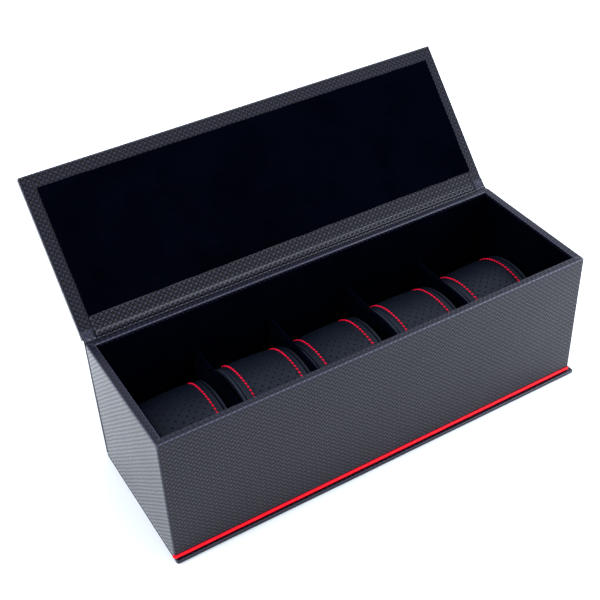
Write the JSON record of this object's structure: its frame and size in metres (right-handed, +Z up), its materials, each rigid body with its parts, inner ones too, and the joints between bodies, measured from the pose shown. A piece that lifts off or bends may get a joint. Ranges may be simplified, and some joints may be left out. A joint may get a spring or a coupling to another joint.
{
  "type": "watch storage box",
  "caption": "Long rectangular watch storage box with a back-hinged lid, velvet lining, dividers and oval lift-out watch cushions, red piping along the front foot.",
  "frame": {"origin": "on the underside of the base board, midway along the tray and midway between the tray's front and back faces", "axes": "+X along the box, +Y from the front to the hinge, +Z up"},
  "size_m": [0.339, 0.2001, 0.1962],
  "materials": {
    "case_leatherette": "satin",
    "hinge_leatherette": "satin",
    "black_velvet": "matte",
    "red_piping": "satin",
    "cushion_leather": "satin",
    "cushion_foam": "matte"
  },
  "bodies": {
    "tray": {"base_board": "case_leatherette", "spine_board": "case_leatherette", "front_wall": "case_leatherette", "back_wall": "case_leatherette", "left_wall": "case_leatherette", "right_wall": "case_leatherette", "floor_board": "case_leatherette", "front_piping": "red_piping", "floor_lining": "black_velvet", "front_lining": "black_velvet", "back_lining": "black_velvet", "left_lining": "black_velvet", "right_lining": "black_velvet", "divider_1": "black_velvet", "divider_2": "black_velvet", "divider_3": "black_velvet", "divider_4": "black_velvet", "hinge_strip_tail": "hinge_leatherette"},
    "lid": {"lid_board": "case_leatherette", "lid_velvet_panel": "black_velvet", "hinge_strip_flap": "hinge_leatherette"},
    "cushion_1": {"cushion_1_core": "cushion_foam", "cushion_1_wrap": "cushion_leather", "cushion_1_left_cap": "cushion_leather", "cushion_1_right_cap": "cushion_leather"},
    "cushion_2": {"cushion_2_core": "cushion_foam", "cushion_2_wrap": "cushion_leather", "cushion_2_left_cap": "cushion_leather", "cushion_2_right_cap": "cushion_leather"},
    "cushion_3": {"cushion_3_core": "cushion_foam", "cushion_3_wrap": "cushion_leather", "cushion_3_left_cap": "cushion_leather", "cushion_3_right_cap": "cushion_leather"},
    "cushion_4": {"cushion_4_core": "cushion_foam", "cushion_4_wrap": "cushion_leather", "cushion_4_left_cap": "cushion_leather", "cushion_4_right_cap": "cushion_leather"},
    "cushion_5": {"cushion_5_core": "cushion_foam", "cushion_5_wrap": "cushion_leather", "cushion_5_left_cap": "cushion_leather", "cushion_5_right_cap": "cushion_leather"}
  },
  "joints": [
    {"name": "lid_hinge", "type": "hinge", "parent": "tray", "child": "lid", "pos_m": [0, 0.0567, 0.1094], "axis": [-1, 0, 0], "range_deg": [-132, 0]},
    {"name": "cushion_1_lift", "type": "slide", "parent": "tray", "child": "cushion_1", "axis": [0, 0, 1], "range_m": [0, 0.11]},
    {"name": "cushion_2_lift", "type": "slide", "parent": "tray", "child": "cushion_2", "axis": [0, 0, 1], "range_m": [0, 0.11]},
    {"name": "cushion_3_lift", "type": "slide", "parent": "tray", "child": "cushion_3", "axis": [0, 0, 1], "range_m": [0, 0.11]},
    {"name": "cushion_4_lift", "type": "slide", "parent": "tray", "child": "cushion_4", "axis": [0, 0, 1], "range_m": [0, 0.11]},
    {"name": "cushion_5_lift", "type": "slide", "parent": "tray", "child": "cushion_5", "axis": [0, 0, 1], "range_m": [0, 0.11]}
  ]
}
